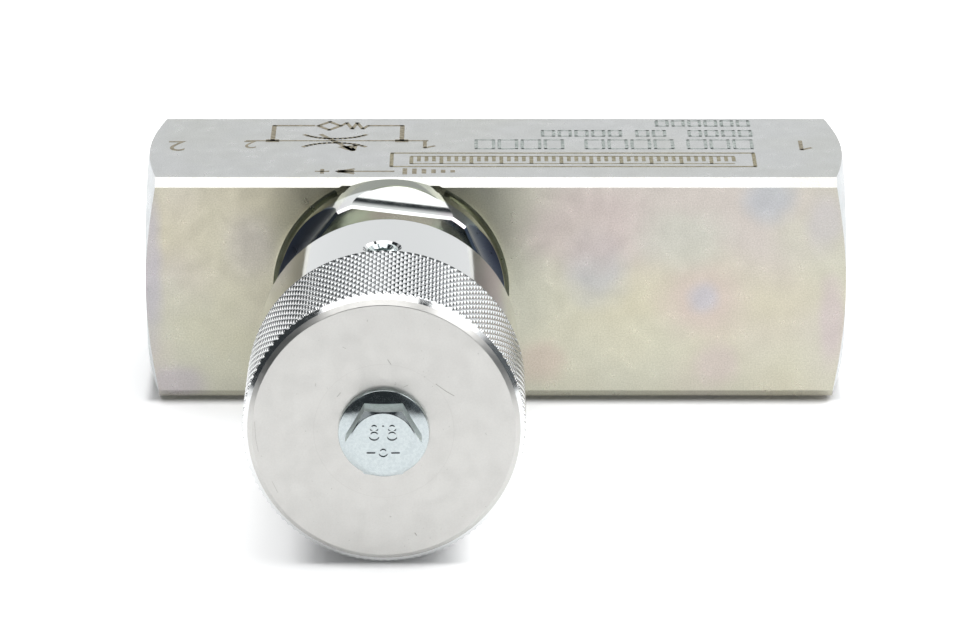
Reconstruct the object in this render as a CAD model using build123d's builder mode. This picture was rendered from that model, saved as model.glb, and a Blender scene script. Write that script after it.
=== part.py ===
from build123d import *
import math
import os

os.makedirs("parts", exist_ok=True)

# ---------------------------------------------------------------- driving dimensions (mm)
# valve body: square bar, ports in line along X, knob axis along -Y at X = 0
BAR = 30.0                 # width and height of the square bar
HALF = BAR / 2
AX = HALF                  # height of the port axis and the knob axis over the bottom face
X_LEFT = -32.1             # end face of port 2
X_RIGHT = 59.5             # end face of port 1
EDGE_C = 1.1               # 45 degree chamfer on the four long edges
END_CONE = 15.0            # turned relief on both ends, degrees from the end plane
SPOT_R = 15.45             # spotface for the bonnet head
SPOT_D = 14.8              # spotface floor, from the port axis

# ports: G 3/8 parallel pipe thread, wall at the thread crest
PORT_R = 7.475
PORT_MAJOR_R = 8.331
PORT_DEPTH = 12.0
PORT_CH = PORT_MAJOR_R - PORT_R

# flow passages
MAIN_R = 3.5
GALLERY_R = 1.4
GALLERY_Y = 5.9            # behind the port axis
CHECK_SEAT_X = 28.0
CHECK_CHAMBER_R = 6.5
CIRCLIP_X0 = 43.5
CIRCLIP_X1 = 44.6
CIRCLIP_GROOVE_R = 7.1

# throttle cross bore, distances d are measured from the port axis towards the knob
SEAL_R = 12.25
SEAL_D = 11.6
BONNET_THREAD_R = 10.5
CHAMBER_R = 7.0
CHAMBER_TOP = 5.0
CHAMBER_FLOOR = -3.6
ORIFICE_R = 2.0

# bonnet
HEAD_R = 15.0
HEAD_FRONT = 24.2
FLAT_AF = 27.0
FLAT_END = 23.6            # the cutter starts to lift away from here towards the body
RUNOUT_R = 12.5
FLAT_TURN = -7.0           # how far the flats are turned from square
HEAD_CH = 0.35
NECK_R = 12.0
NECK_FRONT = 55.0
BONNET_INNER = 5.2
SHANK_R = 10.45
STOP_BORE_R = 6.5
STOP_BORE_END = 15.4
BORE_R = 5.03
BUSH_R = 6.5
BUSH_FROM = 40.0
BUSH_TO = 47.0
WIPER_GROOVE_R = 7.3
WIPER_FROM = 50.6
WIPER_TO = 52.8

# spindle, drawn open (fully out); it travels TRAVEL towards the seat
TRAVEL = 8.0
SPINDLE_R = 5.0
SPINDLE_INNER = 13.2
GLAND_FROM = 24.0
GLAND_TO = 26.9
GLAND_R = 3.55
COLLAR_R = 8.0
COLLAR_FROM = 63.3
PLATE_REAR = 65.4
SPIGOT_R = 4.0
SPIGOT_END = 70.9
BOLT_HOLE_R = 2.5
NEEDLE_R = 2.9
NEEDLE_CONE = 30.0         # half angle of the tip
NEEDLE_TIP_R = 0.8
NEEDLE_SHANK_R = 1.6

# knob
SKIRT_R = 16.5
SKIRT_REAR = 37.0
HEAD_REAR = 53.0
KNURL_R = 17.25
KNOB_FRONT = 71.4
KNOB_CH = 1.3
CAVITY_R = 12.6
PIN_R = 1.25
PIN_OFFSET = 5.9

# flanged knob bolt
FLANGE_R = 5.5
FLANGE_RIM = 0.95
FLANGE_RISE = 0.6          # height of the conical top of the flange over its rim
BOLT_AF = 8.0
BOLT_HEAD_H = 4.7          # knob face to the front of the hexagon
BOLT_SHANK_R = 2.45
BOLT_LEN = 10.0

# lock screw and pad
GRUB_D = 49.3              # distance of the lock screw from the port axis
GRUB_ANGLE = 91.7          # direction of the lock screw, degrees from +X towards +Z
GRUB_R = 2.0
GRUB_IN = 13.65
GRUB_OUT = 16.4
PAD_IN = 12.36
PAD_R = 1.7
SOCKET_AF = 2.0

# check valve
POPPET_HEAD_R = 4.4
STEM_R = 2.0
SPRING_R = 3.0
SPRING_WIRE_R = 0.42
RETAINER_X0 = 40.5
RETAINER_R = 6.4

# local frame of the knob axis: z runs out of the body towards the knob, y is up
KNOB = Plane(origin=(0, 0, AX), x_dir=(1, 0, 0), z_dir=(0, -1, 0))
# half plane through the knob axis: x is the radius, y is the distance d
KNOB_SECTION = Plane(origin=(0, 0, AX), x_dir=(1, 0, 0), z_dir=(0, 0, -1))
KNOB_AXIS = Axis((0, 0, AX), (0, -1, 0))
# half plane through the port axis: x runs along the ports, y is the radius
PORT_SECTION = Plane(origin=(0, 0, AX), x_dir=(1, 0, 0), z_dir=(0, -1, 0))
PORT_AXIS = Axis((0, 0, AX), (1, 0, 0))
# radial frame of the lock screw: z runs outwards
_g = math.radians(GRUB_ANGLE)
GRUB = Plane(origin=(0, -GRUB_D, AX), x_dir=(0, -1, 0), z_dir=(math.cos(_g), 0, math.sin(_g)))


def knob_cyl(r, d0, d1, mode=Mode.ADD):
    """Round stock on the knob axis between two distances."""
    with Locations(KNOB.offset((d0 + d1) / 2)):
        Cylinder(r, d1 - d0, mode=mode)


def knob_ring(points, mode=Mode.ADD):
    """Turned profile on the knob axis from (radius, distance) points."""
    with BuildSketch(KNOB_SECTION) as profile:
        with BuildLine():
            Polyline(*points, close=True)
        make_face()
    revolve(profile.sketch, axis=KNOB_AXIS, mode=mode)


def port_ring(points, mode=Mode.ADD):
    """Turned profile on the port axis from (x, radius) points."""
    with BuildSketch(PORT_SECTION) as profile:
        with BuildLine():
            Polyline(*points, close=True)
        make_face()
    revolve(profile.sketch, axis=PORT_AXIS, mode=mode)


# ---------------------------------------------------------------- valve body
cone_dx = 9.0 * math.tan(math.radians(END_CONE))
with BuildPart() as valve_body:
    with Locations(((X_LEFT + X_RIGHT) / 2, 0, AX)):
        Box(X_RIGHT - X_LEFT, BAR, BAR)
    chamfer(valve_body.edges().filter_by(Axis.X), EDGE_C)
    # turned relief on both ends, it leaves curved ends on the flats
    port_ring(
        [(X_RIGHT, HALF), (X_RIGHT + 1, HALF), (X_RIGHT + 1, HALF + 9), (X_RIGHT - cone_dx, HALF + 9)],
        mode=Mode.SUBTRACT,
    )
    port_ring(
        [(X_LEFT, HALF), (X_LEFT - 1, HALF), (X_LEFT - 1, HALF + 9), (X_LEFT + cone_dx, HALF + 9)],
        mode=Mode.SUBTRACT,
    )
    # port 1 with the check chamber behind it
    port_ring(
        [
            (X_RIGHT + 1, 0),
            (X_RIGHT + 1, PORT_MAJOR_R + 1),
            (X_RIGHT, PORT_MAJOR_R),
            (X_RIGHT - PORT_CH, PORT_R),
            (X_RIGHT - PORT_DEPTH, PORT_R),
            (X_RIGHT - PORT_DEPTH, CHECK_CHAMBER_R),
            (CIRCLIP_X1, CHECK_CHAMBER_R),
            (CIRCLIP_X1, CIRCLIP_GROOVE_R),
            (CIRCLIP_X0, CIRCLIP_GROOVE_R),
            (CIRCLIP_X0, CHECK_CHAMBER_R),
            (CHECK_SEAT_X, CHECK_CHAMBER_R),
            (CHECK_SEAT_X, 0),
        ],
        mode=Mode.SUBTRACT,
    )
    # port 2
    port_ring(
        [
            (X_LEFT - 1, 0),
            (X_LEFT - 1, PORT_MAJOR_R + 1),
            (X_LEFT, PORT_MAJOR_R),
            (X_LEFT + PORT_CH, PORT_R),
            (X_LEFT + PORT_DEPTH, PORT_R),
            (X_LEFT + PORT_DEPTH + 2.2, MAIN_R),
            (X_LEFT + PORT_DEPTH + 2.2, 0),
        ],
        mode=Mode.SUBTRACT,
    )
    # main passage from port 2 to the check seat
    port_ring(
        [
            (X_LEFT + PORT_DEPTH, 0),
            (X_LEFT + PORT_DEPTH, MAIN_R),
            (CHECK_SEAT_X, MAIN_R),
            (CHECK_SEAT_X, 0),
        ],
        mode=Mode.SUBTRACT,
    )
    # cross bore: spotface, seal seat, bonnet thread, needle chamber, orifice
    knob_ring(
        [
            (0, -7.0),
            (ORIFICE_R, -7.0),
            (ORIFICE_R, CHAMBER_FLOOR),
            (CHAMBER_R, CHAMBER_FLOOR),
            (CHAMBER_R, CHAMBER_TOP),
            (BONNET_THREAD_R, CHAMBER_TOP),
            (BONNET_THREAD_R, SEAL_D),
            (SEAL_R, SEAL_D),
            (SEAL_R, SPOT_D),
            (SPOT_R, SPOT_D),
            (SPOT_R, HALF + 1),
            (0, HALF + 1),
        ],
        mode=Mode.SUBTRACT,
    )
    # by-pass gallery, drilled from the floor of port 1 past the check chamber to the orifice
    with Locations(Plane(origin=((-1.0 + X_RIGHT - PORT_DEPTH) / 2, GALLERY_Y, AX), x_dir=(0, 1, 0), z_dir=(1, 0, 0))):
        Cylinder(GALLERY_R, X_RIGHT - PORT_DEPTH + 1.0, mode=Mode.SUBTRACT)
valve_body.part.label = "valve_body"
export_step(valve_body.part, "parts/valve_body.step")

# ---------------------------------------------------------------- bonnet
with BuildPart() as bonnet:
    knob_ring(
        [
            (STOP_BORE_R, BONNET_INNER),
            (SHANK_R - 0.6, BONNET_INNER),
            (SHANK_R, BONNET_INNER + 0.6),
            (SHANK_R, 11.0),
            (10.0, 11.4),
            (10.0, SPOT_D),
            (HEAD_R, SPOT_D),
            (HEAD_R, HEAD_FRONT - HEAD_CH),
            (HEAD_R - HEAD_CH, HEAD_FRONT),
            (NECK_R, HEAD_FRONT),
            (NECK_R, NECK_FRONT - 0.8),
            (NECK_R - 0.8, NECK_FRONT),
            (BUSH_R + 0.4, NECK_FRONT),
            (BUSH_R, NECK_FRONT - 0.4),
            (BUSH_R, WIPER_TO),
            (WIPER_GROOVE_R, WIPER_TO),
            (WIPER_GROOVE_R, WIPER_FROM),
            (BUSH_R, WIPER_FROM),
            (BUSH_R, BUSH_FROM),
            (BORE_R, BUSH_FROM),
            (BORE_R, STOP_BORE_END),
            (STOP_BORE_R, STOP_BORE_END),
        ]
    )
    # six milled flats with a round cutter run-out
    half_af = FLAT_AF / 2
    for k in range(6):
        a = math.radians(90 + FLAT_TURN + 60 * k)
        section = Plane(
            origin=(0, 0, AX),
            x_dir=(math.cos(a), 0, math.sin(a)),
            z_dir=(math.sin(a), 0, -math.cos(a)),
        )
        with BuildSketch(section):
            with BuildLine():
                Polyline(
                    (half_af, FLAT_END),
                    (half_af, HEAD_FRONT - HEAD_CH),
                    (half_af - HEAD_CH, HEAD_FRONT),
                    (half_af - HEAD_CH, HEAD_FRONT + 0.5),
                    (half_af + RUNOUT_R, HEAD_FRONT + 0.5),
                    (half_af + RUNOUT_R, FLAT_END - RUNOUT_R),
                )
                RadiusArc((half_af + RUNOUT_R, FLAT_END - RUNOUT_R), (half_af, FLAT_END), RUNOUT_R)
            make_face()
        extrude(amount=11, both=True, mode=Mode.SUBTRACT)
bonnet.part.label = "bonnet"
export_step(bonnet.part, "parts/bonnet.step")

# ---------------------------------------------------------------- bonnet seals
with BuildPart() as bonnet_o_ring:
    with BuildSketch(KNOB_SECTION):
        with Locations((11.125, 13.38)):
            Circle(1.08)
    revolve(axis=KNOB_AXIS)
bonnet_o_ring.part.label = "bonnet_o_ring"
export_step(bonnet_o_ring.part, "parts/bonnet_o_ring.step")

with BuildPart() as bonnet_backup_ring:
    knob_cyl(SEAL_R - 0.02, SEAL_D, SEAL_D + 0.68)
    knob_cyl(10.55, SEAL_D - 1, SEAL_D + 2, mode=Mode.SUBTRACT)
bonnet_backup_ring.part.label = "bonnet_backup_ring"
export_step(bonnet_backup_ring.part, "parts/bonnet_backup_ring.step")

# ---------------------------------------------------------------- neck fittings
with BuildPart() as guide_bush:
    knob_ring(
        [
            (BORE_R, BUSH_FROM + 0.3),
            (BORE_R + 0.3, BUSH_FROM),
            (BUSH_R - 0.3, BUSH_FROM),
            (BUSH_R, BUSH_FROM + 0.3),
            (BUSH_R, BUSH_TO),
            (BORE_R, BUSH_TO),
        ]
    )
guide_bush.part.label = "guide_bush"
export_step(guide_bush.part, "parts/guide_bush.step")

with BuildPart() as wiper_ring:
    knob_ring(
        [
            (BORE_R + 0.5, WIPER_FROM + 0.05),
            (WIPER_GROOVE_R - 0.02, WIPER_FROM + 0.05),
            (WIPER_GROOVE_R - 0.02, WIPER_TO - 0.05),
            (BUSH_R - 0.1, WIPER_TO - 0.05),
            (BORE_R + 0.6, WIPER_TO + 1.3),
            (BORE_R, WIPER_TO + 1.5),
            (BORE_R, WIPER_TO - 0.4),
        ]
    )
wiper_ring.part.label = "wiper_ring"
export_step(wiper_ring.part, "parts/wiper_ring.step")

# ---------------------------------------------------------------- spindle
with BuildPart() as spindle:
    knob_ring(
        [
            (NEEDLE_SHANK_R + 0.05, SPINDLE_INNER),
            (SPINDLE_R - 0.4, SPINDLE_INNER),
            (SPINDLE_R, SPINDLE_INNER + 0.4),
            (SPINDLE_R, 14.0),
            (4.3, 14.0),
            (4.3, 15.2),
            (SPINDLE_R, 15.2),
            (SPINDLE_R, GLAND_FROM),
            (GLAND_R, GLAND_FROM),
            (GLAND_R, GLAND_TO),
            (SPINDLE_R, GLAND_TO),
            (SPINDLE_R, COLLAR_FROM),
            (COLLAR_R - 0.4, COLLAR_FROM),
            (COLLAR_R, COLLAR_FROM + 0.4),
            (COLLAR_R, PLATE_REAR),
            (SPIGOT_R, PLATE_REAR),
            (SPIGOT_R, SPIGOT_END - 0.4),
            (SPIGOT_R - 0.4, SPIGOT_END),
            (BOLT_HOLE_R, SPIGOT_END),
            (BOLT_HOLE_R, 61.0),
            (0, 59.8),
            (0, 19.4),
            (NEEDLE_SHANK_R + 0.05, 18.5),
        ]
    )
    with Locations(KNOB.offset(64.7)):
        with Locations((0, -PIN_OFFSET)):
            Cylinder(PIN_R, 1.6, mode=Mode.SUBTRACT)
spindle.part.label = "spindle"
export_step(spindle.part, "parts/spindle.step")

with BuildPart() as throttle_needle:
    cone_len = (NEEDLE_R - NEEDLE_TIP_R) / math.tan(math.radians(NEEDLE_CONE))
    closed_start = CHAMBER_FLOOR + (NEEDLE_R - ORIFICE_R) / math.tan(math.radians(NEEDLE_CONE)) + 0.1
    open_start = closed_start + TRAVEL
    knob_ring(
        [
            (0, open_start - cone_len),
            (NEEDLE_TIP_R, open_start - cone_len),
            (NEEDLE_R, open_start),
            (NEEDLE_R, SPINDLE_INNER - 0.05),
            (NEEDLE_SHANK_R, SPINDLE_INNER - 0.05),
            (NEEDLE_SHANK_R, 17.9),
            (NEEDLE_SHANK_R - 0.4, 18.3),
            (0, 18.3),
        ]
    )
throttle_needle.part.label = "throttle_needle"
export_step(throttle_needle.part, "parts/throttle_needle.step")

with BuildPart() as spindle_o_ring:
    with BuildSketch(KNOB_SECTION):
        with Locations((4.29, 25.95)):
            Circle(0.71)
    revolve(axis=KNOB_AXIS)
spindle_o_ring.part.label = "spindle_o_ring"
export_step(spindle_o_ring.part, "parts/spindle_o_ring.step")

with BuildPart() as spindle_backup_ring:
    knob_cyl(BORE_R - 0.03, GLAND_FROM + 0.05, GLAND_FROM + 1.15)
    knob_cyl(GLAND_R + 0.03, GLAND_FROM - 1, GLAND_FROM + 2, mode=Mode.SUBTRACT)
spindle_backup_ring.part.label = "spindle_backup_ring"
export_step(spindle_backup_ring.part, "parts/spindle_backup_ring.step")

with BuildPart() as spindle_stop_ring:
    knob_cyl(6.15, 14.05, 15.15)
    knob_cyl(4.32, 13.0, 16.0, mode=Mode.SUBTRACT)
    with Locations(KNOB.offset(14.6)):
        with Locations((0, 5.2)):
            Box(3.0, 3.4, 3.0, mode=Mode.SUBTRACT)
spindle_stop_ring.part.label = "spindle_stop_ring"
export_step(spindle_stop_ring.part, "parts/spindle_stop_ring.step")

# ---------------------------------------------------------------- knob
with BuildPart() as adjusting_knob:
    with BuildSketch(KNOB_SECTION):
        with BuildLine():
            Polyline(
                (SKIRT_R, SKIRT_REAR + 0.8),
                (SKIRT_R, HEAD_REAR),
                (KNURL_R - 0.25, HEAD_REAR),
                (KNURL_R, HEAD_REAR + 0.25),
                (KNURL_R, KNOB_FRONT - KNOB_CH),
                (KNURL_R - KNOB_CH, KNOB_FRONT),
                (SPIGOT_R + 0.03, KNOB_FRONT),
                (SPIGOT_R + 0.03, PLATE_REAR),
                (CAVITY_R, PLATE_REAR),
                (CAVITY_R, SKIRT_REAR + 0.6),
                (CAVITY_R + 0.6, SKIRT_REAR),
                (SKIRT_R - 0.8, SKIRT_REAR),
            )
            RadiusArc((SKIRT_R - 0.8, SKIRT_REAR), (SKIRT_R, SKIRT_REAR + 0.8), -0.8)
        make_face()
    revolve(axis=KNOB_AXIS)
    # hole of the drive pin
    with Locations(KNOB.offset(PLATE_REAR + 1.8)):
        with Locations((0, -PIN_OFFSET)):
            Cylinder(PIN_R, 3.6, mode=Mode.SUBTRACT)
    # tapped hole of the lock screw, with a small countersink
    with Locations(GRUB.offset(14.5)):
        Cylinder(GRUB_R + 0.05, 6.0, mode=Mode.SUBTRACT)
    with Locations(GRUB.offset(16.3)):
        Cone(GRUB_R - 0.05, GRUB_R + 0.75, 0.8, mode=Mode.SUBTRACT)
adjusting_knob.part.label = "adjusting_knob"
export_step(adjusting_knob.part, "parts/adjusting_knob.step")

with BuildPart() as knob_drive_pin:
    with Locations(KNOB.offset(66.4)):
        with Locations((0, -PIN_OFFSET)):
            Cylinder(PIN_R, 4.8)
    chamfer(knob_drive_pin.edges().filter_by(GeomType.CIRCLE), 0.25)
knob_drive_pin.part.label = "knob_drive_pin"
export_step(knob_drive_pin.part, "parts/knob_drive_pin.step")

BOLT_FRONT = KNOB_FRONT + BOLT_HEAD_H
with BuildPart() as knob_bolt:
    with BuildSketch(KNOB.offset(KNOB_FRONT + 0.5)):
        RegularPolygon(BOLT_AF / 2, 6, major_radius=False)
    extrude(amount=BOLT_HEAD_H - 0.5)
    # corners turned off at 30 degrees
    corner = BOLT_AF / 2 / math.cos(math.radians(30))
    drop = (corner - 3.9 + 0.5) * math.tan(math.radians(30))
    knob_ring(
        [
            (3.9, BOLT_FRONT),
            (corner + 0.5, BOLT_FRONT - drop),
            (corner + 0.5, BOLT_FRONT + 0.5),
            (3.9, BOLT_FRONT + 0.5),
        ],
        mode=Mode.SUBTRACT,
    )
    # flange and shank
    knob_ring(
        [
            (0, KNOB_FRONT - BOLT_LEN),
            (BOLT_SHANK_R - 0.5, KNOB_FRONT - BOLT_LEN),
            (BOLT_SHANK_R, KNOB_FRONT - BOLT_LEN + 0.5),
            (BOLT_SHANK_R, KNOB_FRONT),
            (FLANGE_R - 0.15, KNOB_FRONT),
            (FLANGE_R, KNOB_FRONT + 0.15),
            (FLANGE_R, KNOB_FRONT + FLANGE_RIM - 0.1),
            (FLANGE_R - 0.1, KNOB_FRONT + FLANGE_RIM),
            (4.0, KNOB_FRONT + FLANGE_RIM + FLANGE_RISE),
            (0, KNOB_FRONT + FLANGE_RIM + FLANGE_RISE),
        ]
    )
knob_bolt.part.label = "knob_bolt"
export_step(knob_bolt.part, "parts/knob_bolt.step")

# ---------------------------------------------------------------- lock screw and pad
with BuildPart() as lock_grub_screw:
    with Locations(GRUB.offset((GRUB_IN + GRUB_OUT) / 2)):
        Cylinder(GRUB_R, GRUB_OUT - GRUB_IN)
    chamfer(lock_grub_screw.edges().filter_by(GeomType.CIRCLE), 0.3)
    with BuildSketch(GRUB.offset(GRUB_OUT)):
        RegularPolygon(SOCKET_AF / 2, 6, major_radius=False)
    extrude(amount=-1.8, mode=Mode.SUBTRACT)
    # countersunk mouth of the socket
    with Locations(GRUB.offset(GRUB_OUT - 0.2)):
        Cone(1.05, 1.45, 0.4, mode=Mode.SUBTRACT)
lock_grub_screw.part.label = "lock_grub_screw"
export_step(lock_grub_screw.part, "parts/lock_grub_screw.step")

with BuildPart() as lock_pad:
    with Locations(GRUB.offset((PAD_IN + GRUB_IN - 0.05) / 2)):
        Cylinder(PAD_R, GRUB_IN - 0.05 - PAD_IN)
lock_pad.part.label = "lock_pad"
export_step(lock_pad.part, "parts/lock_pad.step")

# ---------------------------------------------------------------- check valve
with BuildPart() as check_poppet:
    port_ring(
        [
            (27.2, 0),
            (27.2, 2.6),
            (29.0, POPPET_HEAD_R),
            (30.8, POPPET_HEAD_R),
            (31.0, POPPET_HEAD_R - 0.2),
            (31.0, STEM_R),
            (42.7, STEM_R),
            (43.0, STEM_R - 0.3),
            (43.0, 0),
        ]
    )
check_poppet.part.label = "check_poppet"
export_step(check_poppet.part, "parts/check_poppet.step")

with BuildPart() as check_spring_retainer:
    port_ring(
        [
            (RETAINER_X0 - 1.6, STEM_R + 0.04),
            (RETAINER_X0 - 1.6, STEM_R + 0.45),
            (RETAINER_X0, STEM_R + 0.45),
            (RETAINER_X0, RETAINER_R),
            (CIRCLIP_X0, RETAINER_R),
            (CIRCLIP_X0, STEM_R + 0.04),
        ]
    )
    # flow windows outside the spring seat
    with Locations(Plane(origin=((RETAINER_X0 + CIRCLIP_X0) / 2, 0, AX), x_dir=(0, 1, 0), z_dir=(1, 0, 0))):
        with PolarLocations(5.1, 6):
            Cylinder(1.05, 6.0, mode=Mode.SUBTRACT)
check_spring_retainer.part.label = "check_spring_retainer"
export_step(check_spring_retainer.part, "parts/check_spring_retainer.step")

with BuildPart() as check_circlip:
    port_ring(
        [
            (CIRCLIP_X0, 5.7),
            (CIRCLIP_X0, CIRCLIP_GROOVE_R - 0.04),
            (CIRCLIP_X0 + 1.0, CIRCLIP_GROOVE_R - 0.04),
            (CIRCLIP_X0 + 1.0, 5.7),
        ]
    )
    with Locations((CIRCLIP_X0 + 0.5, 6.4, AX)):
        Box(3.0, 3.0, 4.6, mode=Mode.SUBTRACT)
check_circlip.part.label = "check_circlip"
export_step(check_circlip.part, "parts/check_circlip.step")

SPRING_X0 = 31.0 + SPRING_WIRE_R + 0.02
SPRING_X1 = RETAINER_X0 - SPRING_WIRE_R - 0.02
with BuildPart() as check_spring:
    with BuildLine():
        coil = Helix(
            pitch=(SPRING_X1 - SPRING_X0) / 5.0,
            height=SPRING_X1 - SPRING_X0,
            radius=SPRING_R,
            center=(SPRING_X0, 0, AX),
            direction=(1, 0, 0),
        )
    with BuildSketch(Plane(origin=coil @ 0, z_dir=coil % 0)):
        Circle(SPRING_WIRE_R)
    sweep()
check_spring.part.label = "check_spring"
export_step(check_spring.part, "parts/check_spring.step")
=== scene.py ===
import bpy, bmesh, math
import numpy as np
from mathutils import Vector, Matrix


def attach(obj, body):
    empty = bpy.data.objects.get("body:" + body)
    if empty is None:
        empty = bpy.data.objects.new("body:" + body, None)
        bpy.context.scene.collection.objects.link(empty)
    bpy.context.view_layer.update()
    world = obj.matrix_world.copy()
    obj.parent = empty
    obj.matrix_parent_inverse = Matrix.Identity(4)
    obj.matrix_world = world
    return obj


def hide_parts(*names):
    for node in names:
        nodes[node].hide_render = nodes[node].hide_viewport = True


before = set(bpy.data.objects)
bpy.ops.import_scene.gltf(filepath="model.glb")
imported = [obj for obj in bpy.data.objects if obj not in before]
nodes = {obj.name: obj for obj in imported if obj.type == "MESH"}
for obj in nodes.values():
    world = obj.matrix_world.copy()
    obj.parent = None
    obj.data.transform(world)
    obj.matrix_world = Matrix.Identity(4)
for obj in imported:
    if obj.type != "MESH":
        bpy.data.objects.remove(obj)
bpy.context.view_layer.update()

MM = 0.001
AX = 15.0                # height of the port axis and the knob axis over the bottom face, mm

# ------------------------------------------------------------------ mesh helpers (mm in, metres out)


def mesh_obj(name, verts, faces, smooth_deg=30.0):
    me = bpy.data.meshes.new(name)
    me.from_pydata((np.asarray(verts, float) * MM).tolist(), [], [tuple(f) for f in faces])
    me.validate()
    me.update()
    ob = bpy.data.objects.new(name, me)
    bpy.context.scene.collection.objects.link(ob)
    if smooth_deg:
        me.polygons.foreach_set("use_smooth", [True] * len(me.polygons))
        me.set_sharp_from_angle(angle=math.radians(smooth_deg))
    return ob


def on_knob(r, a, d):
    """Point at radius r, angle a (from +X towards +Z) and distance d from the port axis towards the knob."""
    return (r * math.cos(a), -d, AX + r * math.sin(a))


def on_port(r, a, x):
    return (x, r * math.cos(a), AX + r * math.sin(a))


def lathe(name, profile, place, n=256, closed=True, smooth_deg=30.0):
    """Turned shape from (radius, distance) points, counted so that the material lies inside."""
    verts, faces, m = [], [], len(profile)
    for i in range(n):
        a = 2 * math.pi * i / n
        for r, d in profile:
            verts.append(place(r, a, d))
    last = m if closed else m - 1
    for i in range(n):
        j = (i + 1) % n
        for k in range(last):
            l = (k + 1) % m
            faces.append((i * m + k, j * m + k, j * m + l, i * m + l))
    ob = mesh_obj(name, verts, faces, smooth_deg)
    bm = bmesh.new()
    bm.from_mesh(ob.data)
    bmesh.ops.remove_doubles(bm, verts=bm.verts, dist=1e-7)
    bmesh.ops.recalc_face_normals(bm, faces=bm.faces)
    bm.to_mesh(ob.data)
    bm.free()
    return ob


def fillet(p, q, s, r, n=4):
    """Points of an arc of radius r that rounds the corner q between p and s."""
    p, q, s = (np.asarray(t, float) for t in (p, q, s))
    u, v = (p - q) / np.linalg.norm(p - q), (s - q) / np.linalg.norm(s - q)
    half = math.acos(max(-1, min(1, float(u @ v)))) / 2
    t = r / math.tan(half)
    c = q + (u + v) / np.linalg.norm(u + v) * r / math.sin(half)
    a0, a1 = q + u * t - c, q + v * t - c
    out = []
    for k in range(n + 1):
        w = k / n
        ang = math.acos(max(-1, min(1, float(a0 @ a1) / (r * r))))
        out.append(tuple(c + (a0 * math.sin((1 - w) * ang) + a1 * math.sin(w * ang)) / math.sin(ang)))
    # a point close beside each end keeps the flats flat in the shading
    return [tuple(q + u * (t + 0.02))] + out + [tuple(q + v * (t + 0.02))]


def rounded(points, radii):
    """Closed profile with its corners rounded: radii maps an index to a radius."""
    out, n = [], len(points)
    for i, q in enumerate(points):
        if radii.get(i):
            out += fillet(points[i - 1], q, points[(i + 1) % n], radii[i])
        else:
            out.append(q)
    return out


def boolean(target, cutter, op="DIFFERENCE"):
    m = target.modifiers.new("cut", "BOOLEAN")
    m.object, m.operation, m.solver = cutter, op, "EXACT"
    dg = bpy.context.evaluated_depsgraph_get()
    me = bpy.data.meshes.new_from_object(target.evaluated_get(dg))
    target.modifiers.clear()
    old = target.data
    target.data = me
    bpy.data.meshes.remove(old)
    bpy.data.objects.remove(cutter)


def shade(ob, deg=30.0):
    me = ob.data
    me.polygons.foreach_set("use_smooth", [True] * len(me.polygons))
    me.set_sharp_from_angle(angle=math.radians(deg))


def give(ob, mat):
    ob.data.materials.clear()
    ob.data.materials.append(mat)


# ------------------------------------------------------------------ material helpers


def lin(r, g, b):
    """Linear colour from 0-255 display values."""
    return tuple((c / 255 / 12.92) if c / 255 <= 0.04045 else ((c / 255 + 0.055) / 1.055) ** 2.4 for c in (r, g, b)) + (1.0,)


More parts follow.
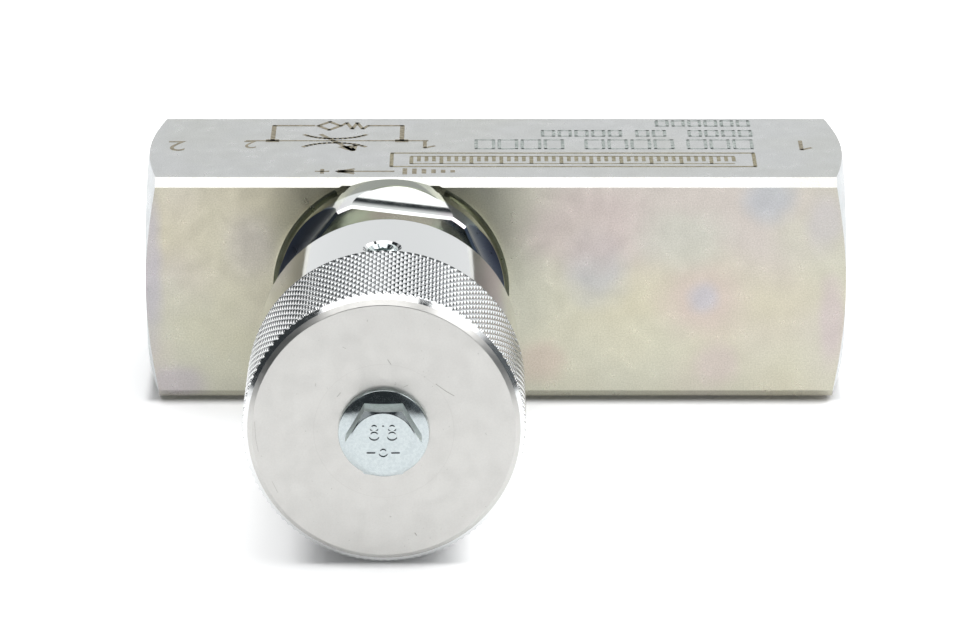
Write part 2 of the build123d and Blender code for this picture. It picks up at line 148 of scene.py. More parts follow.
class Mat:
    def __init__(self, name, color, metallic=0.0, rough=0.5):
        self.mat = bpy.data.materials.new(name)
        self.mat.use_nodes = True
        self.nt = self.mat.node_tree
        self.bsdf = self.nt.nodes["Principled BSDF"]
        self.bsdf.inputs["Base Color"].default_value = color
        self.bsdf.inputs["Metallic"].default_value = metallic
        self.bsdf.inputs["Roughness"].default_value = rough
        tc = self.nt.nodes.new("ShaderNodeTexCoord")
        self.coord = tc.outputs["Object"]
        self.height = None

    def node(self, kind, **kw):
        n = self.nt.nodes.new(kind)
        for k, v in kw.items():
            setattr(n, k, v)
        return n

    def link(self, a, b):
        self.nt.links.new(a, b)

    def mapped(self, scale=(1, 1, 1), loc=(0, 0, 0), rot=(0, 0, 0), src=None):
        m = self.node("ShaderNodeMapping")
        m.inputs["Scale"].default_value = scale
        m.inputs["Location"].default_value = loc
        m.inputs["Rotation"].default_value = rot
        self.link(src or self.coord, m.inputs["Vector"])
        return m.outputs["Vector"]

    def noise(self, scale, detail=3.0, rough=0.5, vec=None, dist=0.0, w=None):
        n = self.node("ShaderNodeTexNoise")
        if w is not None:
            n.noise_dimensions = "4D"
            n.inputs["W"].default_value = w
        n.inputs["Scale"].default_value = scale
        n.inputs["Detail"].default_value = detail
        n.inputs["Roughness"].default_value = rough
        n.inputs["Distortion"].default_value = dist
        self.link(vec or self.coord, n.inputs["Vector"])
        return n.outputs["Fac"]

    def ramp(self, fac, lo, hi, a=0.0, b=1.0):
        m = self.node("ShaderNodeMapRange", clamp=True)
        m.interpolation_type = "SMOOTHSTEP"
        for k, v in zip(("From Min", "From Max", "To Min", "To Max"), (lo, hi, a, b)):
            m.inputs[k].default_value = v
        self.link(fac, m.inputs["Value"])
        return m.outputs["Result"]

    def math(self, op, a, b=None):
        m = self.node("ShaderNodeMath", operation=op)
        for k, v in ((0, a), (1, b)):
            if v is None:
                continue
            if isinstance(v, (int, float)):
                m.inputs[k].default_value = v
            else:
                self.link(v, m.inputs[k])
        return m.outputs[0]

    def mix(self, fac, a, b, blend="MIX"):
        m = self.node("ShaderNodeMix", data_type="RGBA", blend_type=blend)
        if isinstance(fac, (int, float)):
            m.inputs[0].default_value = fac
        else:
            self.link(fac, m.inputs[0])
        for k, v in ((6, a), (7, b)):
            if isinstance(v, tuple):
                m.inputs[k].default_value = v
            else:
                self.link(v, m.inputs[k])
        return m.outputs[2]

    def sep(self, src=None):
        s = self.node("ShaderNodeSeparateXYZ")
        self.link(src or self.coord, s.inputs[0])
        return s.outputs

    def bump(self, height, distance, strength=1.0, rounding=0.0):
        b = self.node("ShaderNodeBump")
        b.inputs["Strength"].default_value = strength
        b.inputs["Distance"].default_value = distance
        self.link(height, b.inputs["Height"])
        if self.height is not None:
            self.link(self.height, b.inputs["Normal"])
        self.height = b.outputs["Normal"]
        self.link(self.height, self.bsdf.inputs["Normal"])

    def color(self, c):
        self.link(c, self.bsdf.inputs["Base Color"])

    def rough(self, r):
        self.link(r, self.bsdf.inputs["Roughness"])


# ------------------------------------------------------------------ materials
zinc = Mat("zinc_plated_body", lin(189, 187, 172), 1.0, 0.3)
_n = zinc.node("ShaderNodeNewGeometry")
_tr = zinc.node("ShaderNodeVectorTransform", vector_type="NORMAL", convert_from="WORLD", convert_to="OBJECT")
zinc.link(_n.outputs["Normal"], _tr.inputs[0])
NX, NY, NZ = zinc.sep(_tr.outputs[0])
PX, PY, PZ = zinc.sep()
base = zinc.mix(zinc.ramp(zinc.noise(45, 2, 0.5, w=1.3), 0.40, 0.64), lin(189, 188, 173), lin(190, 183, 177))
base = zinc.mix(zinc.ramp(zinc.noise(30, 2, 0.5, w=3.1), 0.5, 0.7), base, lin(192, 187, 166))
front = zinc.math("MULTIPLY", zinc.ramp(NY, -0.7, -0.3, 1.0, 0.0), 1.0)
wob = zinc.math("MULTIPLY", zinc.math("SUBTRACT", zinc.noise(160, 2, 0.55, w=5.0), 0.5), 0.9)


def stain(x, z, rx, rz, col, amount, ring=None, mask=None):
    """Soft stain of the passivation at (x, z) mm over the bottom face; ring gives a rim colour."""
    global base
    u = zinc.math("DIVIDE", zinc.math("SUBTRACT", PX, x * MM), rx * MM)
    v = zinc.math("DIVIDE", zinc.math("SUBTRACT", PZ, z * MM), rz * MM)
    r = zinc.math("SQRT", zinc.math("ADD", zinc.math("MULTIPLY", u, u), zinc.math("MULTIPLY", v, v)))
    r = zinc.math("ADD", r, wob)
    if ring:
        k = zinc.math("MULTIPLY", zinc.ramp(r, 0.65, 1.0), zinc.ramp(r, 1.05, 1.45, 1.0, 0.0))
        base = zinc.mix(zinc.math("MULTIPLY", zinc.math("MULTIPLY", k, mask or front), amount), base, ring)
    k = zinc.ramp(r, 0.35, 1.15, amount, 0.0)
    base = zinc.mix(zinc.math("MULTIPLY", k, mask or front), base, col)


stain(26.7, 18.0, 4.8, 6.0, lin(171, 171, 177), 0.65)
stain(-12.0, 13.0, 17.0, 15.0, lin(198, 195, 172), 0.7)
stain(25.5, 23.5, 10.0, 6.5, lin(187, 175, 172), 0.7)
stain(41.0, 13.2, 6.6, 6.0, lin(192, 176, 171), 0.65)
stain(41.0, 13.8, 2.6, 2.8, lin(173, 174, 184), 0.65)
stain(49.5, 27.5, 4.2, 4.2, lin(168, 173, 181), 0.65)
stain(19.5, 5.0, 4.6, 3.6, lin(190, 176, 165), 0.7)
stain(42.4, 4.6, 3.4, 3.6, lin(188, 175, 173), 0.6)
stain(57.6, 11.0, 2.2, 7.0, lin(187, 173, 177), 0.6)
stain(56.5, 24.0, 3.0, 5.0, lin(180, 175, 181), 0.5)
stain(-31.5, 19.0, 2.0, 13.0, lin(176, 172, 183), 0.65)
stain(-28.5, 2.2, 4.8, 2.8, lin(178, 170, 179), 0.6)
stain(-18.0, 21.0, 4.0, 5.5, lin(180, 174, 173), 0.4)
stain(33.0, 8.0, 9.0, 4.0, lin(191, 189, 172), 0.5)
stain(38.0, 22.0, 7.0, 5.0, lin(184, 186, 175), 0.6)
# painted reflection: faces turned towards the ends of the body (along X) get a pale bluish tint in place of the bright
# reflection on the end cones
end_painted_reflection_k = zinc.ramp(zinc.math("ABSOLUTE", NX), 0.12, 0.24)
base = zinc.mix(end_painted_reflection_k, base, lin(184, 188, 190))
# painted reflection: upward-facing faces get a lighter neutral colour in place of the grazing reflection of the bright
# light above; the noise inside only varies its tone
base = zinc.mix(zinc.ramp(NZ, 0.3, 0.9), base, zinc.mix(zinc.ramp(zinc.noise(60, 3, 0.5, w=2.2), 0.4, 0.65), lin(210, 211, 210), lin(207, 208, 204)))
grain = zinc.noise(2600, 2, 0.6)
fine = zinc.noise(5200, 2, 0.7, w=9.0)
base = zinc.mix(zinc.ramp(fine, 0.3, 0.7, 0.0, 0.34), base, (0.42, 0.41, 0.37, 1), "MULTIPLY")
zinc.color(base)
zinc.rough(zinc.ramp(zinc.noise(400, 3, 0.6), 0.3, 0.7, 0.27, 0.35))
zinc.bump(grain, 0.000002, 0.3)

bonnet_m = Mat("zinc_plated_turned", lin(200, 204, 200), 1.0, 0.1)
_n = bonnet_m.node("ShaderNodeNewGeometry")
_tr = bonnet_m.node("ShaderNodeVectorTransform", vector_type="NORMAL", convert_from="WORLD", convert_to="OBJECT")
bonnet_m.link(_n.outputs["Normal"], _tr.inputs[0])
bx, by, bz = bonnet_m.sep(_tr.outputs[0])
bonnet_tone_and_painted_sheen = bonnet_m.mix(bonnet_m.ramp(bonnet_m.noise(110, 2, w=4.0), 0.42, 0.6), lin(206, 209, 206), lin(200, 193, 196))
# painted reflection: surfaces of the bonnet facing sideways get a blue tint in place of the dark bluish surroundings
# they reflect
bonnet_tone_and_painted_sheen = bonnet_m.mix(bonnet_m.ramp(bonnet_m.math("ABSOLUTE", bx), 0.35, 0.75), bonnet_tone_and_painted_sheen, lin(140, 158, 184))
# painted reflection: faces turned to the front get a pale olive colour in place of what they reflect; the noise inside
# only varies its tone
bonnet_tone_and_painted_sheen = bonnet_m.mix(bonnet_m.ramp(by, -0.96, -0.90, 1.0, 0.0), bonnet_tone_and_painted_sheen, bonnet_m.mix(bonnet_m.ramp(bonnet_m.noise(120, 2, w=1.0), 0.42, 0.62), lin(234, 240, 212), lin(230, 222, 206)))
px, py, pz = bonnet_m.sep()
pz = bonnet_m.math("SUBTRACT", pz, 15.0 * MM)
pr = bonnet_m.math("SQRT", bonnet_m.math("ADD", bonnet_m.math("MULTIPLY", px, px), bonnet_m.math("MULTIPLY", pz, pz)))
# painted shade and highlight: the outer rim of the bonnet head next to the body is painted dark olive where it faces up
# or down and pale where it faces sideways, in place of the shade and bright reflection in the narrow recess there
by_side = bonnet_m.ramp(bonnet_m.math("ABSOLUTE", bx), 0.3, 0.7)
strip = bonnet_m.math("MULTIPLY", bonnet_m.ramp(pr, 0.01488, 0.01494), bonnet_m.ramp(py, -0.0196, -0.0188))
# painted reflection: the run-outs between the hex flats and the round head, where they face sideways, are painted navy
# in place of the dark surroundings they reflect
runout_painted_reflection = bonnet_m.math("MULTIPLY", bonnet_m.math("MULTIPLY", bonnet_m.ramp(pr, 0.01488, 0.01494, 1.0, 0.0), bonnet_m.ramp(pr, 0.0133, 0.0134)), bonnet_m.math("MULTIPLY", by_side, bonnet_m.ramp(py, -0.0238, -0.0234)))
bonnet_tone_and_painted_sheen = bonnet_m.mix(strip, bonnet_tone_and_painted_sheen, bonnet_m.mix(by_side, lin(98, 103, 88), lin(236, 236, 208)))
bonnet_tone_and_painted_sheen = bonnet_m.mix(runout_painted_reflection, bonnet_tone_and_painted_sheen, lin(92, 106, 140))
bonnet_m.color(bonnet_tone_and_painted_sheen)
bonnet_m.rough(bonnet_m.ramp(bonnet_m.noise(900, 3, 0.6), 0.3, 0.7, 0.07, 0.13))
bonnet_m.bump(bonnet_m.noise(2200, 2, 0.6), 0.000003, 0.15)

alu = Mat("knob_turned", lin(199, 200, 199), 1.0, 0.22)
alu.rough(alu.ramp(alu.noise(700, 3, 0.6), 0.3, 0.7, 0.05, 0.09))

alu_knurl = Mat("knob_knurl", lin(214, 215, 215), 1.0, 0.12)
alu_knurl.rough(alu_knurl.ramp(alu_knurl.noise(1500, 3, 0.6), 0.3, 0.7, 0.08, 0.18))

alu_face = Mat("knob_face", lin(190, 189, 186), 1.0, 0.33)
_x, _y, _z = alu_face.sep()
_zz = alu_face.math("SUBTRACT", _z, AX * MM)
_r = alu_face.math("SQRT", alu_face.math("ADD", alu_face.math("MULTIPLY", _x, _x), alu_face.math("MULTIPLY", _zz, _zz)))
_c = alu_face.node("ShaderNodeCombineXYZ")
alu_face.link(_r, _c.inputs[0])
turn = alu_face.noise(9000, 2, 0.6, vec=_c.outputs[0])
swirl = alu_face.noise(900, 3, 0.6, vec=_c.outputs[0])
ring = alu_face.math("MULTIPLY", alu_face.ramp(_r, 0.00842, 0.00848), alu_face.ramp(_r, 0.00850, 0.00856, 1.0, 0.0))
c_face = alu_face.mix(alu_face.ramp(alu_face.noise(260, 3, 0.55, w=2.0), 0.35, 0.65), lin(190, 189, 186), lin(187, 186, 183))
c_face = alu_face.mix(alu_face.math("MULTIPLY", ring, 0.4), c_face, lin(174, 172, 169))
c_face = alu_face.mix(alu_face.ramp(alu_face.noise(4200, 2, 0.7, w=8.0), 0.3, 0.7, 0.0, 0.22), c_face, (0.40, 0.395, 0.38, 1))
specks = alu_face.ramp(alu_face.noise(2400, 2, 0.5, w=6.0), 0.70, 0.76)
c_face = alu_face.mix(alu_face.math("MULTIPLY", specks, 0.6), c_face, lin(150, 148, 144))
alu_face.color(c_face)
alu_face.rough(alu_face.ramp(alu_face.noise(500, 4, 0.6), 0.3, 0.7, 0.28, 0.36))
alu_face.bump(alu_face.math("ADD", turn, alu_face.math("MULTIPLY", swirl, 2.0)), 0.0000012, 0.5)

bolt_m = Mat("bolt_zinc", lin(182, 190, 192), 1.0, 0.2)
bolt_m.color(bolt_m.mix(bolt_m.ramp(bolt_m.noise(3200, 3, 0.6, w=3.0), 0.35, 0.65), lin(172, 180, 182), lin(182, 189, 190)))
_n = bolt_m.node("ShaderNodeNewGeometry")
_tr = bolt_m.node("ShaderNodeVectorTransform", vector_type="NORMAL", convert_from="WORLD", convert_to="OBJECT")
bolt_m.link(_n.outputs["Normal"], _tr.inputs[0])
flat_k = bolt_m.ramp(bolt_m.math("ABSOLUTE", bolt_m.sep(_tr.outputs[0])[1]), 0.04, 0.3, 0.3, 0.0)
flat_c = bolt_m.mix(bolt_m.ramp(bolt_m.noise(2600, 3, 0.6, w=5.0), 0.35, 0.65), lin(232, 240, 238), lin(216, 226, 222))
flat_t = bolt_m.ramp(bolt_m.math("ABSOLUTE", bolt_m.sep(_tr.outputs[0])[1]), 0.04, 0.3, 1.0, 0.0)
bolt_m.color(bolt_m.mix(flat_t, bolt_m.mix(bolt_m.ramp(bolt_m.noise(3200, 3, 0.6, w=3.0), 0.35, 0.65), lin(172, 180, 182), lin(182, 189, 190)), flat_c))
bolt_m.rough(bolt_m.math("ADD", flat_k, bolt_m.ramp(bolt_m.noise(900, 3, 0.6), 0.3, 0.7, 0.09, 0.2)))
bolt_m.bump(bolt_m.noise(3600, 3, 0.65), 0.000006, 0.25)

steel = Mat("ground_steel", lin(190, 190, 192), 1.0, 0.24)
steel.rough(steel.ramp(steel.noise(900, 3, 0.6), 0.3, 0.7, 0.18, 0.3))
spring_m = Mat("spring_steel", lin(140, 140, 144), 1.0, 0.3)
spring_m.rough(spring_m.ramp(spring_m.noise(900, 3, 0.6), 0.3, 0.7, 0.22, 0.4))
bronze = Mat("bush_bronze", lin(196, 160, 100), 1.0, 0.3)
bronze.rough(bronze.ramp(bronze.noise(900, 3, 0.6), 0.3, 0.7, 0.25, 0.4))
nitrile = Mat("nitrile", (0.02, 0.02, 0.022, 1), 0.0, 0.55)
nitrile.rough(nitrile.ramp(nitrile.noise(900, 3, 0.6), 0.3, 0.7, 0.45, 0.65))
ptfe = Mat("ptfe", (0.8, 0.8, 0.78, 1), 0.0, 0.5)
ptfe.rough(ptfe.ramp(ptfe.noise(900, 3, 0.6), 0.3, 0.7, 0.4, 0.6))
wiper_m = Mat("wiper_urethane", (0.05, 0.09, 0.2, 1), 0.0, 0.5)
wiper_m.rough(wiper_m.ramp(wiper_m.noise(900, 3, 0.6), 0.3, 0.7, 0.4, 0.6))
nylon = Mat("nylon", (0.75, 0.72, 0.64, 1), 0.0, 0.45)
nylon.rough(nylon.ramp(nylon.noise(900, 3, 0.6), 0.3, 0.7, 0.4, 0.55))
mark_m = Mat("laser_mark", lin(126, 119, 100), 0.5, 0.55)
mark_m.color(mark_m.mix(mark_m.ramp(mark_m.noise(1800, 3, 0.6), 0.35, 0.65), lin(116, 108, 88), lin(156, 148, 128)))

mark_grey_m = Mat("laser_mark_grey", lin(138, 146, 142), 0.6, 0.55)
mark_grey_m.color(mark_grey_m.mix(mark_grey_m.ramp(mark_grey_m.noise(1800, 3, 0.6), 0.35, 0.65), lin(134, 142, 138), lin(176, 181, 177)))
mark_strip_m = Mat("laser_mark_brown", lin(150, 143, 118), 0.6, 0.55)
mark_strip_m.color(mark_strip_m.mix(mark_strip_m.ramp(mark_strip_m.noise(1800, 3, 0.6), 0.35, 0.65), lin(124, 117, 92), lin(156, 149, 126)))

for n, m in {
    "valve_body": zinc, "bonnet": bonnet_m, "bonnet_o_ring": nitrile, "bonnet_backup_ring": ptfe,
    "guide_bush": bronze, "wiper_ring": wiper_m, "check_spring_retainer": steel, "check_circlip": spring_m,
    "throttle_needle": steel, "spindle_o_ring": nitrile, "spindle_backup_ring": ptfe, "spindle": steel,
    "spindle_stop_ring": spring_m, "adjusting_knob": alu, "knob_drive_pin": steel, 
    "knob_bolt": bolt_m, "lock_pad": nylon, "lock_grub_screw": bolt_m, "check_poppet": steel,
    "check_spring": spring_m,
}.items():
    give(nodes[n], m.mat)

# ------------------------------------------------------------------ knob
SKIRT_R, SKIRT_REAR, HEAD_REAR = 16.5, 37.0, 53.0
KNURL_R, KNOB_FRONT, KNOB_CH = 17.25, 71.4, 1.3
CAVITY_R, PLATE_REAR, HUB_R = 12.6, 65.4, 4.03
GRUB_D, GRUB_A = 49.3, math.radians(91.7)

skirt = lathe(
    "knob_skirt",
    rounded(
        [
            (SKIRT_R, SKIRT_REAR), (SKIRT_R, HEAD_REAR + 0.6), (CAVITY_R, HEAD_REAR + 0.6),
            (CAVITY_R, SKIRT_REAR),
        ],
        {0: 0.8, 3: 0.5},
    ),
    on_knob,
    n=384,
)
g_out = Vector((math.cos(GRUB_A), 0, math.sin(GRUB_A)))
g_side = Vector((0, -1, 0))
g_up = g_out.cross(g_side)
g_base = Vector((0, -GRUB_D, AX))


def on_grub(r, a, h):
    p = g_base + g_out * h + (g_side * math.cos(a) + g_up * math.sin(a)) * r
    return (p.x, p.y, p.z)


cut = lathe("cut", [(0, 11), (2.05, 11), (2.05, 15.95), (2.6, 16.5), (3.3, 17.2), (0, 17.2)], on_grub, n=96)
boolean(skirt, cut)
shade(skirt, 28)
give(skirt, alu.mat)

# knurled head: two crossed families of V grooves, cut into the round and into its chamfers
TEETH, PITCH_A, STEP = 112, 1.9, 8
p_c = 2 * math.pi * KNURL_R / TEETH
alpha = math.atan(p_c / PITCH_A)
p_n = p_c * math.cos(alpha)
DEPTH = 0.24
nu = TEETH * STEP
dv = PITCH_A / STEP
d_end = KNOB_FRONT - KNOB_CH + 0.5
nv = int(math.ceil((d_end - HEAD_REAR) / dv))


def knurl_r(u, v):
    """u in teeth, v in axial pitches."""
    g1 = np.abs((u + v + 0.5) % 1.0 - 0.5)
    g2 = np.abs((u - v + 0.5) % 1.0 - 0.5)
    s = ((1 - 2 * g1) ** 4 + (1 - 2 * g2) ** 4) ** 0.25                 # 0 on the tip of a diamond, 1 in its grooves
    h = KNURL_R - DEPTH * np.minimum(1.0, s) ** 1.35
    d = HEAD_REAR + v * PITCH_A
    h = np.minimum(h, KNURL_R - np.maximum(0, d - (KNOB_FRONT - KNOB_CH)))
    return np.minimum(h, KNURL_R - 0.1 + (d - HEAD_REAR))


us, vs = np.meshgrid(np.arange(nu) / STEP, np.arange(nv + 1) / STEP, indexing="ij")
uc, vc = np.meshgrid((np.arange(nu) + 0.5) / STEP, (np.arange(nv) + 0.5) / STEP, indexing="ij")


def place_grid(u, v):
    r = knurl_r(u, v)
    a = 2 * math.pi * u / TEETH
    return np.stack([r * np.cos(a), -(HEAD_REAR + v * PITCH_A), AX + r * np.sin(a)], -1)


gv = place_grid(us, vs).reshape(-1, 3)
gc = place_grid(uc, vc).reshape(-1, 3)
I, J = np.meshgrid(np.arange(nu), np.arange(nv), indexing="ij")
a = (I * (nv + 1) + J).ravel()
b = (((I + 1) % nu) * (nv + 1) + J).ravel()
c = (((I + 1) % nu) * (nv + 1) + J + 1).ravel()
d = (I * (nv + 1) + J + 1).ravel()
e = len(gv) + (I * nv + J).ravel()
tris = np.concatenate([np.stack(t, -1) for t in ((a, e, b), (b, e, c), (c, e, d), (d, e, a))])
knurl = mesh_obj("knob_knurl", np.concatenate([gv, gc]), tris.tolist(), smooth_deg=33)
give(knurl, alu_knurl.mat)

# front of the head: rest of the chamfer, face, and the step behind the knurl
d_k = HEAD_REAR + nv * dv
front = lathe(
    "knob_front",
    [
        (KNURL_R - (d_k - (KNOB_FRONT - KNOB_CH)), d_k),
    ]
    + fillet((KNURL_R, KNOB_FRONT - KNOB_CH), (KNURL_R - KNOB_CH, KNOB_FRONT), (0, KNOB_FRONT), 0.12)
    + [(r, KNOB_FRONT) for r in (14.0, 12.0, 10.0, 8.0, 6.0, HUB_R)]
    + [(HUB_R, PLATE_REAR), (CAVITY_R, PLATE_REAR), (CAVITY_R, HEAD_REAR + 0.6)],
    on_knob,
    n=384,
    closed=False,
)
give(front, alu_face.mat)
step = lathe("knob_step", [(SKIRT_R - 0.3, HEAD_REAR), (KNURL_R - 0.1 - DEPTH, HEAD_REAR), (KNURL_R - 0.1, HEAD_REAR)], on_knob, n=384, closed=False)
give(step, alu.mat)
for ob in (skirt, knurl, front, step):
    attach(ob, "adjuster")
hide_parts("adjusting_knob")

# ------------------------------------------------------------------ flanged bolt
BF, BD = 71.4, 76.1
STEP_B = 0.078          # the marked front face is a separate fine surface this thick
hexa = []
for d in (BF + 0.4, BD - STEP_B):
    for k in range(6):
        a = math.radians(60 * k)
        hexa.append(on_knob(4.0 / math.cos(math.radians(30)), a, d))
bolt = mesh_obj("bolt_head", hexa, [(k, (k + 1) % 6, 6 + (k + 1) % 6, 6 + k) for k in range(6)] + [tuple(range(5, -1, -1)), tuple(range(6, 12))], 0)
bm = bmesh.new(); bm.from_mesh(bolt.data); bmesh.ops.recalc_face_normals(bm, faces=bm.faces); bm.to_mesh(bolt.data); bm.free()
corner = 4.0 / math.cos(math.radians(30))
cone = lathe("cone", [(0, BF), (6, BF), (6, BD - (6 - 3.86) * math.tan(math.radians(30))), (3.86 + STEP_B / math.tan(math.radians(30)), BD - STEP_B), (0, BD - STEP_B)], on_knob, n=192)
boolean(bolt, cone, "INTERSECT")
bv = bolt.modifiers.new("edge", "BEVEL")
bv.width, bv.segments, bv.limit_method, bv.angle_limit = 0.09 * MM, 3, "ANGLE", math.radians(20)
bv.harden_normals = True
flange = lathe(
    "bolt_flange",
    [(5.35, BF)] + fillet((5.35, BF), (5.5, BF + 0.15), (5.5, BF + 0.8), 0.1, 2)
    + fillet((5.5, BF + 0.2), (5.5, BF + 0.95), (4.0, BF + 1.55), 0.12, 4)
    + [(3.98, BF + 1.56), (3.4, BF + 1.6)],
    on_knob, n=256, closed=False,
)
for ob in (bolt, flange):
    give(ob, bolt_m.mat)
    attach(ob, "adjuster")
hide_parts("knob_bolt")

# ------------------------------------------------------------------ marks


def text_mesh(name, body, height, place, mat, thick, stretch=1.0):
    """Plain characters as a thin raised mesh; place maps (x, y, z) of the text plane in mm to the row frame in mm."""
    cu = bpy.data.curves.new(name, "FONT")
    cu.body, cu.size, cu.align_x, cu.align_y = body, 1.0, "CENTER", "CENTER"
    cu.extrude = 0.5
    tmp = bpy.data.objects.new(name + "_t", cu)
    bpy.context.scene.collection.objects.link(tmp)
    me = bpy.data.meshes.new_from_object(tmp.evaluated_get(bpy.context.evaluated_depsgraph_get()))
    bpy.data.objects.remove(tmp)
    co = np.array([v.co[:] for v in me.vertices])
    mid, h = (co.min(0) + co.max(0)) / 2, co[:, 1].max() - co[:, 1].min()
    co = (co - mid) / h * height
    co[:, 0] *= stretch
    co[:, 2] = np.sign(co[:, 2]) * thick / 2
    for v, p in zip(me.vertices, co):
        v.co = Vector(place(*p)) * MM
    me.update()
    ob = bpy.data.objects.new(name, me)
    bpy.context.scene.collection.objects.link(ob)
    give(ob, mat)
    return ob


def strokes(name, lines, mat, z=30.0, thick=0.016):
    """Etched lines: each is (points, width) in mm on the top face, drawn as flat ribbons with square ends."""
    verts, faces = [], []
    for pts, wd in lines:
        for p, q in zip(pts[:-1], pts[1:]):
            p, q = np.array(p, float), np.array(q, float)
            t = (q - p) / np.linalg.norm(q - p)
            nrm = np.array([-t[1], t[0]]) * wd / 2
            p2, q2 = p - t * wd * 0.3, q + t * wd * 0.3
            i = len(verts)
            for zz in (z - thick / 2, z + thick / 2):
                for c in (p2 + nrm, q2 + nrm, q2 - nrm, p2 - nrm):
                    verts.append((c[0], c[1], zz))
            faces += [(i, i + 1, i + 2, i + 3), (i + 7, i + 6, i + 5, i + 4)]
            faces += [(i + k, i + 4 + k, i + 4 + (k + 1) % 4, i + (k + 1) % 4) for k in range(4)]
    ob = mesh_obj(name, verts, faces, 0)
    bm = bmesh.new(); bm.from_mesh(ob.data); bmesh.ops.recalc_face_normals(bm, faces=bm.faces); bm.to_mesh(ob.data); bm.free()
    give(ob, mat)
    return ob


def top_place(cx, cy):
    """Text plane on the top face, read from behind the valve."""
    return lambda x, y, z: (cx - x, cy - y, 30.0 + z)


def arc(cx, cy, rx, ry, a0, a1, n=14):
    return [(cx + rx * math.cos(math.radians(a0 + (a1 - a0) * k / n)), cy + ry * math.sin(math.radians(a0 + (a1 - a0) * k / n))) for k in range(n + 1)]


def one(cx, cy, h, wd):
    """The figure 1, read from behind the valve."""
    return [([(cx - 0.3, cy - h / 2), (cx - 0.3, cy + h / 2)], wd), ([(cx - 0.3, cy - h / 2), (cx + 0.95, cy - h / 2 + 0.9)], wd)]


marks = [
    text_mesh("mark_port_2", "2", 4.6, top_place(-28.6, 0.7), mark_m.mat, 0.016, 0.8),
    text_mesh("mark_line_2", "2", 3.4, top_place(-18.9, 1.35), mark_m.mat, 0.016, 0.8),
    strokes("mark_port_1", one(54.5, 1.0, 4.2, 0.55) + one(4.6, 1.4, 3.2, 0.5), mark_m.mat),
]
L = 0.62
sym = [
    ([(-16.0, 3.2), (-16.0, 10.5), (-10.7, 10.5)], L),
    ([(-3.3, 10.5), (1.2, 10.5), (1.2, 3.2)], L),
    ([(-19.4, 3.2), (4.6, 3.2)], 0.5),
    ([(-8.6, 12.4), (-10.1, 10.4), (-8.6, 8.4), (-7.1, 10.4), (-8.6, 12.4)], L),                       # check valve
    ([(-7.0, 10.5), (-6.3, 11.9), (-5.5, 8.9), (-4.9, 11.9), (-4.1, 8.9), (-3.4, 10.5)], 0.5),          # spring
    (arc(-7.7, 8.6, 5.0, 4.4, 215, 325), L),                            # throttle
    (arc(-7.7, -2.2, 5.0, 4.4, 35, 145), L),
    ([(-9.6, 6.2), (-5.6, -0.8)], L),                                   # adjusting arrow
    ([(-6.9, 0.2), (-5.2, -1.5), (-4.9, 0.9), (-6.4, 0.3)], 0.6),
    ([(-5.9, 0.3), (-5.2, -1.2)], 0.9),
]
for cx, cy in ((-16.0, 3.2), (1.2, 3.2)):
    sym.append(([(cx - 0.5, cy), (cx + 0.5, cy)], 1.3))
marks.append(strokes("mark_symbol", sym, mark_m.mat))
arrow = [
    ([(-9.8, -11.2), (-8.2, -11.2)], 0.5), ([(-9.0, -10.3), (-9.0, -12.1)], 0.5),
    ([(-6.6, -11.2), (0.3, -11.2)], 0.5), ([(-4.9, -10.1), (-7.1, -11.2), (-4.9, -12.3)], 0.45), ([(-5.2, -11.2), (-6.6, -11.2)], 1.3),
]
for k in range(6):                                                       # more flow, in growing steps
    h = 0.35 + 0.17 * (5 - k)
    arrow.append(([(1.8 + 1.25 * k, -11.2 - h), (1.8 + 1.25 * k, -11.2 + h)], 0.6))
marks.append(strokes("mark_turn", arrow, mark_m.mat))
plate = [([(0.0, -2.7), (47.7, -2.7), (47.7, -9.0), (0.0, -9.0), (0.0, -2.7)], 0.5), ([(2.6, -4.2), (45.0, -4.2)], 0.35), ([(2.6, -7.6), (45.0, -7.6)], 0.35)]
for k in range(44):                                                      # plain graduated strip
    x = 2.6 + 42.4 * k / 43
    plate.append(([(x, -4.4), (x, -7.6 if k % 4 == 0 else -6.4)], 0.5))
marks.append(strokes("mark_strip", plate, mark_strip_m.mat))
rows = []
for y0, y1, groups in ((-0.6, 3.6, ((47.7, 3), (37.2, 4), (22.6, 4))), (5.4, 8.1, ((47.8, 4), (36.3, 2), (30.4, 5))), (10.3, 12.9, ((47.7, 6),))):
    wd = (y1 - y0) * 0.55
    for x, count in groups:                                              # plain open blocks in place of lettering
        for k in range(count):
            rows.append(([(x, y0), (x - wd, y0), (x - wd, y1), (x, y1), (x, y0)], 0.46))
            x -= wd + 0.75
marks.append(strokes("mark_rows", rows, mark_grey_m.mat))
for ob in marks:
    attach(ob, "valve")

# front face of the bolt head, with the property class pressed in over a plain ring between two bars


def loop(cx, cz, rx, rz, n=28):
    return [(cx + rx * math.cos(2 * math.pi * k / n), cz + rz * math.sin(2 * math.pi * k / n)) for k in range(n + 1)]


